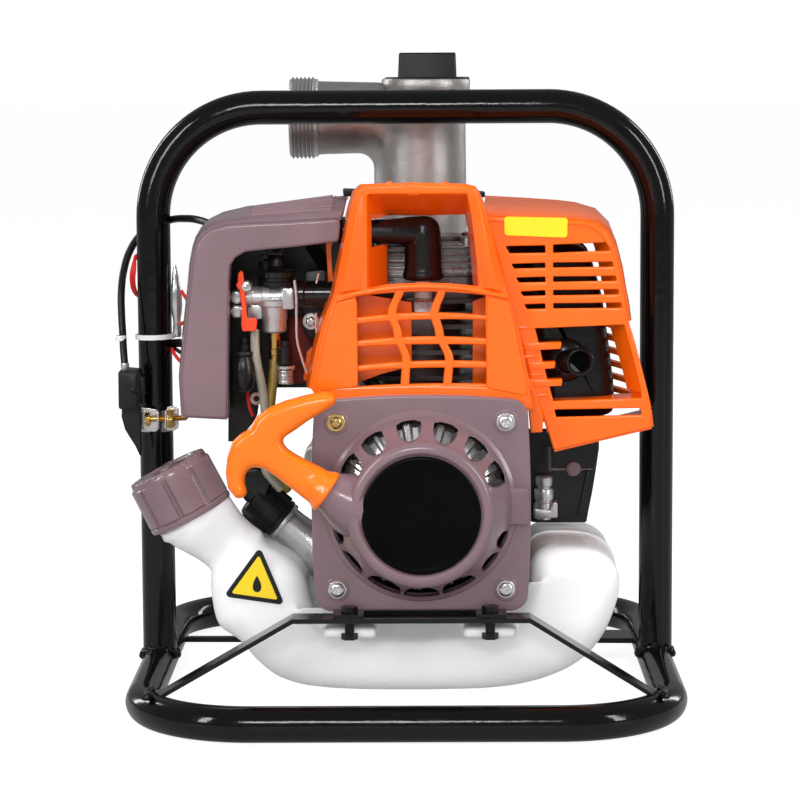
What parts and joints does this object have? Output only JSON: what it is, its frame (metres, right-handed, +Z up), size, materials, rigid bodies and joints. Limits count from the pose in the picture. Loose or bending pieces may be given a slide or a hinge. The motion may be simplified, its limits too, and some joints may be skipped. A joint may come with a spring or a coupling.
{
  "type": "portable fire pump",
  "caption": "Portable engine-driven fire pump in a tubular carrying frame, with recoil starter, saddle fuel tank, side outlet, rear inlet and a priming plug.",
  "frame": {"origin": "on the ground, under the middle of the whole width and length; the hoop stands 6.3 mm to +X of it because the throttle box stands out on the other side", "axes": "+Z up, -Y towards the starter end, +X towards the muffler side"},
  "size_m": [0.3146, 0.336, 0.3552],
  "materials": {
    "frame_black": "gloss powder coat",
    "black_fastener": "satin black oxide",
    "tank_white": "blow-moulded translucent polyethylene",
    "taupe_plastic": "moulded nylon, semi-gloss",
    "black_plastic": "moulded plastic",
    "badge_black": "smooth disc",
    "bright_steel": "zinc plated",
    "handle_orange": "moulded, glossy",
    "orange_plastic": "moulded, glossy",
    "label_yellow": "plain sticker",
    "filter_foam": "open-cell foam",
    "cast_aluminium": "as-cast, gritty",
    "fuel_hose": "translucent hose",
    "black_rubber": "satin",
    "choke_red": "moulded",
    "muffler_black": "heat-proof black paint"
  },
  "bodies": {
    "frame": {"base_loop": "frame_black", "hoop": "frame_black", "front_strap": "frame_black", "rear_strap": "frame_black", "mount_bolts": "black_fastener", "front_foot": "frame_black", "pump_foot": "frame_black", "fuel_tank": "tank_white", "fan_housing": "black_plastic", "recoil_housing": "taupe_plastic", "recoil_badge": "badge_black", "recoil_screws": "bright_steel", "recoil_spring": "bright_steel", "shroud": "orange_plastic", "muffler_cover": "orange_plastic", "cover_label": "label_yellow", "air_cover": "taupe_plastic", "air_base": "black_plastic", "air_filter": "filter_foam", "carb_body": "cast_aluminium", "carb_top": "black_plastic", "carb_bowl": "cast_aluminium", "insulator": "black_plastic", "fuel_lines": "fuel_hose", "primer_bulb": "black_rubber", "cylinder": "cast_aluminium", "rocker_cover": "black_plastic", "crankcase_front": "cast_aluminium", "crankcase_rear": "cast_aluminium", "bearings": "bright_steel", "piston": "bright_steel", "spark_plug": "bright_steel", "plug_boot": "black_rubber", "ignition_coil": "black_rubber", "oil_neck": "cast_aluminium", "side_bracket": "frame_black", "muffler": "muffler_black", "exhaust_tube": "bright_steel", "pump_adapter": "cast_aluminium", "pump_casing": "cast_aluminium", "pump_cover": "cast_aluminium", "cover_gasket": "black_rubber", "cover_bolts": "bright_steel", "shaft_seal": "black_rubber", "drain_plug": "bright_steel", "throttle_box": "black_plastic", "leg_clamp": "bright_steel"},
    "rotor": {"crankshaft": "bright_steel", "flywheel": "cast_aluminium", "impeller": "cast_aluminium"},
    "rod": {"conrod": "cast_aluminium"},
    "pulley": {"starter_pulley": "black_plastic"},
    "handle": {"pull_handle": "handle_orange"},
    "tank_cap": {"fuel_cap": "taupe_plastic"},
    "dipstick": {"oil_cap": "black_plastic"},
    "prime_plug": {"priming_plug": "black_plastic"},
    "lever": {"throttle_lever": "black_plastic"},
    "carb_arm": {"throttle_arm": "bright_steel"},
    "choke": {"choke_lever": "choke_red"},
    "flap": {"check_flap": "black_rubber"}
  },
  "joints": [
    {"name": "crank_spin", "type": "hinge", "parent": "frame", "child": "rotor", "pos_m": [0.0148, -0.035, 0.117], "axis": [0, 1, 0], "continuous": true},
    {"name": "rod_swing", "type": "hinge", "parent": "rotor", "child": "rod", "pos_m": [0.0148, -0.035, 0.13], "axis": [0, 1, 0], "continuous": true},
    {"name": "starter_pull", "type": "slide", "parent": "frame", "child": "handle", "axis": [-0.866, 0, 0.5], "range_m": [0, 0.45]},
    {"name": "pulley_turn", "type": "hinge", "parent": "frame", "child": "pulley", "pos_m": [0.0148, -0.131, 0.117], "axis": [0, -1, 0], "range_deg": [0, 922]},
    {"name": "tank_cap_lift", "type": "slide", "parent": "frame", "child": "tank_cap", "axis": [-0.454, 0, 0.891], "range_m": [0, 0.019]},
    {"name": "dipstick_draw", "type": "slide", "parent": "frame", "child": "dipstick", "axis": [-0.6947, 0, 0.7193], "range_m": [0, 0.04]},
    {"name": "prime_plug_lift", "type": "slide", "parent": "frame", "child": "prime_plug", "axis": [0, 0, 1], "range_m": [0, 0.03]},
    {"name": "throttle_swing", "type": "hinge", "parent": "frame", "child": "lever", "pos_m": [-0.1507, -0.0215, 0.161], "axis": [0, 1, 0], "range_deg": [0, 55]},
    {"name": "carb_throttle", "type": "hinge", "parent": "frame", "child": "carb_arm", "pos_m": [-0.0682, -0.069, 0.24], "axis": [0, 0, 1], "range_deg": [0, 72]},
    {"name": "choke_swing", "type": "hinge", "parent": "frame", "child": "choke", "pos_m": [-0.0777, -0.085, 0.231], "axis": [0, -1, 0], "range_deg": [0, 60]},
    {"name": "flap_open", "type": "hinge", "parent": "frame", "child": "flap", "pos_m": [0.0148, 0.0942, 0.1375], "axis": [-1, 0, 0], "range_deg": [0, 35]}
  ],
  "couplings": [
    {"joint": "rod_swing", "follows": "crank_spin", "ratio": -1},
    {"joint": "pulley_turn", "follows": "starter_pull", "rad_per_m": 35.714},
    {"joint": "carb_throttle", "follows": "throttle_swing", "ratio": 1.2727}
  ]
}
